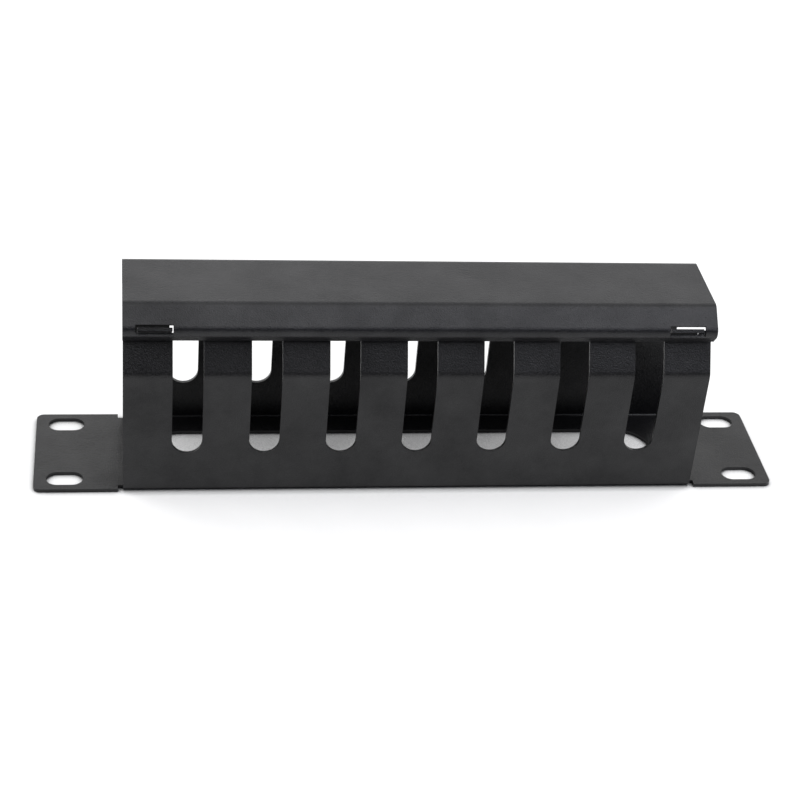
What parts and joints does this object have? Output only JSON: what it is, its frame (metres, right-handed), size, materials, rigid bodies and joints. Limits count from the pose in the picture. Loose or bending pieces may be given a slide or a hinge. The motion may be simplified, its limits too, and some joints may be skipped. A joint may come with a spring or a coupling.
{
  "type": "horizontal cable manager",
  "caption": "Half-width rack cable manager: a folded steel channel with slotted finger walls and two mounting ears, closed by a clip-on steel cover.",
  "frame": {"origin": "centre of the panel's back face, on the plane that meets the rack rails", "axes": "+X along the panel, +Y across it (up in the rack), +Z out of the rack, from the panel to the cover"},
  "size_m": [0.254, 0.044, 0.0689],
  "materials": {
    "channel_powder_coat": "fine-textured matt powder coat",
    "cover_powder_coat": "fine-textured matt powder coat"
  },
  "bodies": {
    "base": {"base_channel": "channel_powder_coat"},
    "cover": {"cover": "cover_powder_coat"}
  },
  "joints": [
    {"name": "cover_lift", "type": "slide", "parent": "base", "child": "cover", "axis": [0, 0, 1], "range_m": [0, 0.06]}
  ]
}
